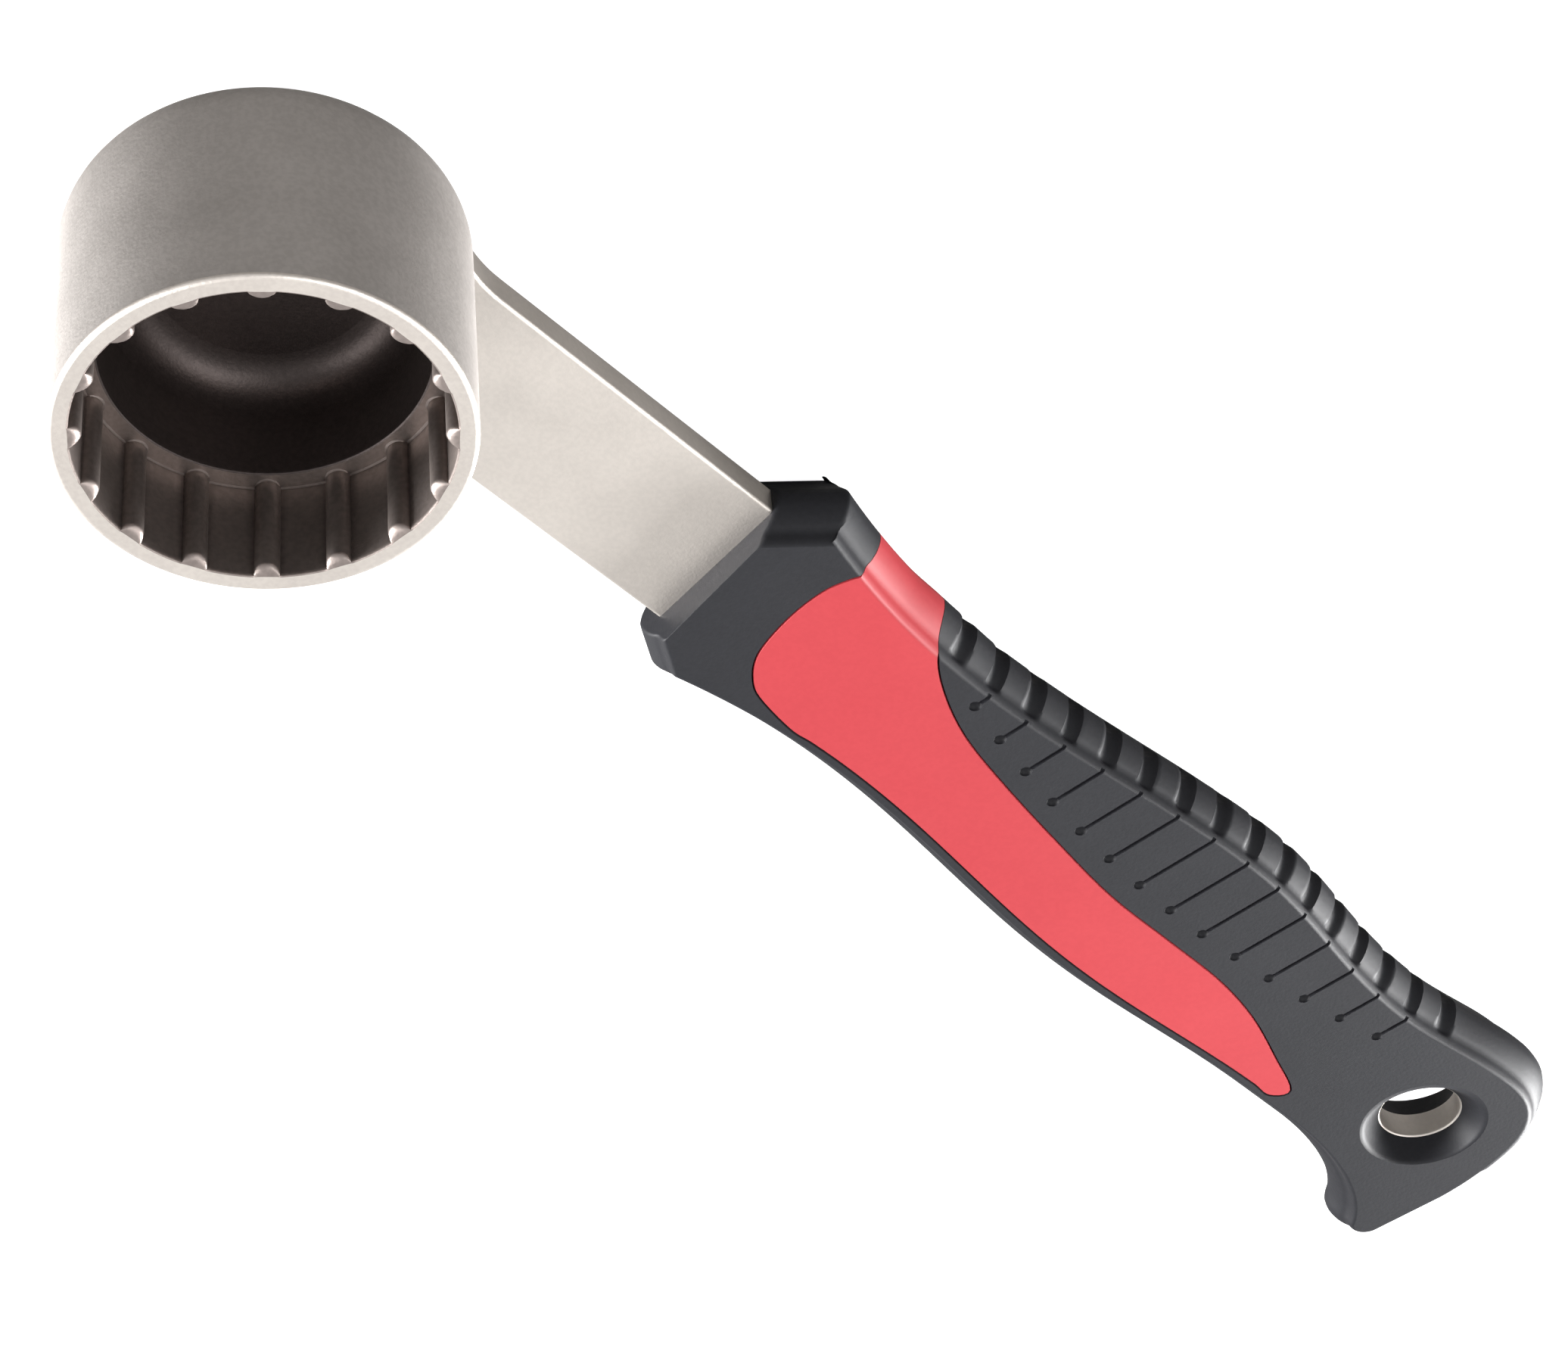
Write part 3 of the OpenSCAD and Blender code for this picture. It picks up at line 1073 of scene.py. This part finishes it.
@dataclass
class Window:
    """The opening in the cover that shows the insert, and the insert's plug in it."""

    form: GripForm
    start: float = 11.5
    length: float = 136.5
    margin: float = 0.9
    wrap: float = 18.5
    front: tuple[Point, ...] = (
        (3.5, 24),
        (2.5, 17.2),
        (1, 13.3),
        (0.2, 9.5),
        (0.5, 4.2),
        (1.8, -1.4),
        (3.5, -5.4),
        (6.3, -8.4),
        (9.8, -10.2),
    )
    back: tuple[Point, ...] = (
        (135, -10.3),
        (127, -7.3),
        (116, -3.8),
        (105, -2.1),
        (92, -1.9),
        (78, -1.7),
        (62.5, 0.2),
        (47.5, 2.5),
        (36, 4.9),
        (27, 8.5),
        (21, 12.4),
        (18.5, 16.5),
        (18.5, 24),
    )

    def outline(self) -> list[Point]:
        """The window seen from above, anticlockwise."""
        x0 = self.form.front_x + self.start
        half = self.form.ridge_out + self.margin
        edge = [x0 + 17.5 + 4 * k for k in range(30)]
        points = [(x0 + x, y) for x, y in self.front]
        points += [(x, half - self.form.plain_half(x)) for x in edge if x < x0 + self.length]
        points += [(x0 + x, y) for x, y in self.back]
        return curve_through(points, 5)

    def cutter(self, low: float, high: float) -> bmesh.types.BMesh:
        """A tall plug of the window.

        Args:
            low: How far it stands out from the window's outline inside the grip.
            high: The same at the grip's faces, where the seam opens.

        Returns:
            The mesh, which reaches past both faces.
        """
        lip, past = 0.35, 0.6
        slope = (high - low) / lip
        top, bottom = self.form.top_z, self.form.low_z
        return prism(
            self.outline(),
            [
                (bottom - past, high + slope * past),
                (bottom + lip, low),
                (top - lip, low),
                (top + past, high + slope * past),
            ],
        )


@dataclass
class Grip:
    """The two-colour handle: a red core that shows in a window, and a black cover."""

    form: GripForm
    window: Window
    bar: HandleBar
    skin_t: float = 3.2
    skin_side: float = 4.0
    groove_w: float = 0.7
    groove_depth: float = 0.5
    groove_near: float = 2.5
    groove_bow: float = 0.0022
    dimple_r: float = 0.95
    rim_gap: float = 0.3
    rim_flare: float = 2.8
    rim_round: float = 0.6
    rim_shift: tuple[float, float] = (-1.3, 0.75)

    def core_block(self) -> bmesh.types.BMesh:
        """The part of the core that lies hidden round the bar."""
        start = self.form.front_x + 2 * self.skin_t
        end = self.bar.hole_x - 2 * self.bar.hole_r
        line = [s.at + s.inward * self.skin_side for s in self.form.stations()[::-4]]
        block = stacked(
            [
                [Vector((p.x, p.y, z)) for p in line]
                for z in (self.form.low_z + self.skin_t, self.form.top_z - self.skin_t)
            ]
        )
        for x, side in ((start, -1), (end, 1)):
            everything = [*block.verts, *block.edges, *block.faces]
            cut = bmesh.ops.bisect_plane(
                block,
                geom=everything,
                plane_co=(x * MM, 0, 0),
                plane_no=(side, 0, 0),
                clear_outer=True,
            )["geom_cut"]
            edges = [e for e in cut if isinstance(e, bmesh.types.BMEdge)]
            bmesh.ops.contextual_create(block, geom=edges)
        bmesh.ops.recalc_face_normals(block, faces=block.faces)
        return block

    def groove_places(self) -> list[tuple[float, float]]:
        """Where each groove on a face lies, and where it ends inside."""
        form = self.form
        places = []
        for k in range(1, form.rib_count - 1):
            x = form.first_notch + k * form.rib_pitch
            places.append((x, self.groove_near + self.groove_bow * (x - form.belly_x) ** 2))
        return places

    def groove_cutter(self) -> bmesh.types.BMesh:
        """The thin grooves of both faces as one cutter of slim wedges."""
        cutter = bmesh.new()
        form = self.form
        for x, near in self.groove_places():
            far = form.ribbed_half(x) - form.ridge_out * 0.55
            for z in (form.low_z, form.top_z):
                made = bmesh.ops.create_cube(cutter, size=1.0)["verts"]
                place = Matrix.Translation(Vector((x, (near + far) / 2, z)) * MM)
                size = Vector((self.groove_w, far - near, 2 * self.groove_depth)) * MM
                bmesh.ops.transform(
                    cutter, matrix=place @ Matrix.Diagonal((*size, 1.0)), verts=made
                )
        return cutter

    def dimple_cutter(self) -> bmesh.types.BMesh:
        """The round dimples that end the grooves."""
        cutter = bmesh.new()
        for x, near in self.groove_places():
            for z in (self.form.low_z, self.form.top_z):
                bmesh.ops.create_uvsphere(
                    cutter,
                    u_segments=20,
                    v_segments=12,
                    radius=self.dimple_r * MM,
                    matrix=Matrix.Translation(Vector((x, near, z)) * MM)
                    @ Matrix.Diagonal((1.0, 1.0, 0.7, 1.0)),
                )
        return cutter

    def rim_cutter(self) -> bmesh.types.BMesh:
        """The opening round the hanging hole, which flares from the steel to both faces."""
        inner, top = self.bar.hole_r + self.rim_gap, self.form.top_z
        outer = inner + self.rim_flare
        lip = self.rim_round
        profile: list[Point] = [(top + 1, outer + lip * 2.2), (top, outer + lip * 1.2)]
        profile += [(top - lip * 0.15, outer + lip * 0.6), (top - lip * 0.5, outer + lip * 0.1)]
        profile += [(top - lip * 1.1, outer - lip * 0.5), (self.bar.thick, inner)]
        profile += [(self.bar.thick - 1, inner)]
        mirrored = [(2 * self.form.mid_z - z, r) for z, r in reversed(profile)]
        rings = []
        for z, r in profile + mirrored:
            share = (r - inner) / self.rim_flare
            x = self.bar.hole_x + self.rim_shift[0] * share
            y = self.bar.hole_y + self.rim_shift[1] * share
            turns = [2 * math.pi * k / 96 for k in range(96)]
            rings.append([Vector((x + r * math.cos(t), y + r * math.sin(t), z)) for t in turns])
        return stacked(rings)

    def build_core(self, finishes: dict[str, bpy.types.Material]) -> None:
        """Builds the red core with the insert that shows."""
        piece = as_object(self.form.body(notched=False), "red_insert")
        carve(piece, self.window.cutter(-0.05, -0.2), Cut.COMMON)
        carve(piece, self.core_block(), Cut.ADD)
        carve(piece, self.bar.blank(), Cut.AWAY)
        finish_piece(piece, [finishes["red_plastic"]], "grip_core")

    def build_cover(self, finishes: dict[str, bpy.types.Material]) -> None:
        """Builds the black cover with its ribs, grooves and hanging hole."""
        piece = as_object(self.form.body(notched=True), "rubber_cover")
        carve(piece, self.window.cutter(0.05, 0.15), Cut.AWAY)
        carve(piece, self.core_block(), Cut.AWAY)
        carve(piece, self.bar.blank(), Cut.AWAY)
        carve(piece, self.rim_cutter(), Cut.AWAY)
        carve(piece, self.groove_cutter(), Cut.AWAY)
        carve(piece, self.dimple_cutter(), Cut.AWAY)
        finish_piece(piece, [finishes["black_rubber"]], "grip_cover")


@dataclass
class Studio:
    """The camera, the pale floor and the soft lights."""

    camera_at: tuple[float, float, float] = (-235.853, 245.263, 404.719)
    camera_turn: tuple[float, float, float] = (-46.5288, -4.4676, 49.2866)
    lens: float = 97.618
    floor_pivot_x: float = -17.5
    floor_drop: float = 4.1
    floor_run: float = 100.5
    floor_size: float = 6000.0
    floor_colour: Colour = (0.4, 0.4, 0.4)
    floor_dim: Colour = (0.14, 0.136, 0.132)
    floor_glow: float = 0.9

    def add_camera(self) -> None:
        """Adds the camera at the photograph's viewing angle."""
        data = bpy.data.cameras.new("camera")
        data.lens = self.lens
        data.sensor_width = 36.0
        data.clip_start = 0.01
        camera = bpy.data.objects.new("camera", data)
        camera.location = in_frame(self.camera_at)
        camera.rotation_euler = Euler([math.radians(a) for a in self.camera_turn], "XYZ")
        bpy.context.scene.collection.objects.link(camera)
        bpy.context.scene.camera = camera

    def add_floor(self) -> None:
        """Adds the floor under the head's back edge and the collar, on which the tool rests."""
        mesh = bmesh.new()
        bmesh.ops.create_grid(mesh, x_segments=4, y_segments=4, size=self.floor_size / 2 * MM)
        tilt = math.atan2(self.floor_drop, self.floor_run)
        bmesh.ops.rotate(mesh, verts=mesh.verts, matrix=Matrix.Rotation(tilt, 3, "Y"))
        bmesh.ops.translate(mesh, verts=mesh.verts, vec=Vector((self.floor_pivot_x, 0, -0.05)) * MM)
        floor = as_object(mesh, "floor")
        material = bpy.data.materials.new("pale_floor")
        material.use_nodes = True
        nodes = Nodes(material.node_tree)
        shader = material.node_tree.nodes["Principled BSDF"]
        shader.inputs["Roughness"].default_value = 0.9
        shader.inputs["Specular IOR Level"].default_value = 0.0
        path = nodes.add("ShaderNodeLightPath")
        seen = path.outputs["Is Camera Ray"]
        nodes.join(
            nodes.mix(seen, self.floor_dim, self.floor_colour), shader.inputs["Base Color"]
        )
        shader.inputs["Emission Color"].default_value = (1.0, 1.0, 1.0, 1.0)
        glow = nodes.math("MULTIPLY", seen, self.floor_glow)
        nodes.join(glow, shader.inputs["Emission Strength"])
        floor.data.materials.append(material)

    def add_light(
        self, name: str, at: tuple[float, float, float], size: float, power: float
    ) -> None:
        """Adds a soft square light that looks at the middle of the tool.

        Args:
            name: The light's name.
            at: Its place in millimetres.
            size: The length of its side in millimetres.
            power: Its power in watts.
        """
        data = bpy.data.lights.new(name, "AREA")
        data.energy = power
        data.size = size * MM
        light = bpy.data.objects.new(name, data)
        light.location = in_frame(at)
        aim = in_frame((110, 0, 0)) - light.location
        light.rotation_euler = aim.to_track_quat("-Z", "Y").to_euler()
        bpy.context.scene.collection.objects.link(light)

    def add_world(self, strength: float) -> None:
        """Adds an even pale surround of that strength."""
        world = bpy.data.worlds.new("surround")
        world.use_nodes = True
        background = world.node_tree.nodes["Background"]
        background.inputs["Color"].default_value = (1.0, 1.0, 1.0, 1.0)
        background.inputs["Strength"].default_value = strength
        bpy.context.scene.world = world

    def build(self) -> None:
        """Sets the studio up."""
        bpy.context.scene.view_settings.view_transform = "Standard"
        self.add_camera()
        self.add_floor()
        self.add_world(0.62)
        self.add_light("key", (-500, -700, 900), 700, 9.0)
        self.add_light("fill", (700, 600, 900), 900, 4.2)
        self.add_light("left", (-400, -850, 90), 500, 62.0)
        self.add_light("right", (940, 160, 90), 500, 44.0)
        self.add_light("front", (20, 620, 760), 500, 3.0)


def main() -> None:
    """Builds the pieces around the frame."""
    logging.basicConfig(level=logging.INFO, format="%(name)s: %(message)s")
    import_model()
    groups = {g.name: g for g in (surface_grain(), mottled_colour(), edge_wear_and_painted_light())}
    finishes = {
        finish.name: finish.make(groups)
        for finish in (
            PLATED_WALL, PLATED_RIM, TOOTH_WALL, DARK_BORE, PLATED_BAR, BLACK_RUBBER, RED_PLASTIC
        )
    }
    Studio().build()
    Socket().build(finishes)
    bar = HandleBar()
    bar.build(finishes)
    form = GripForm()
    grip = Grip(form, Window(form), bar)
    grip.build_core(finishes)
    grip.build_cover(finishes)


if __name__ == "__main__":
    main()
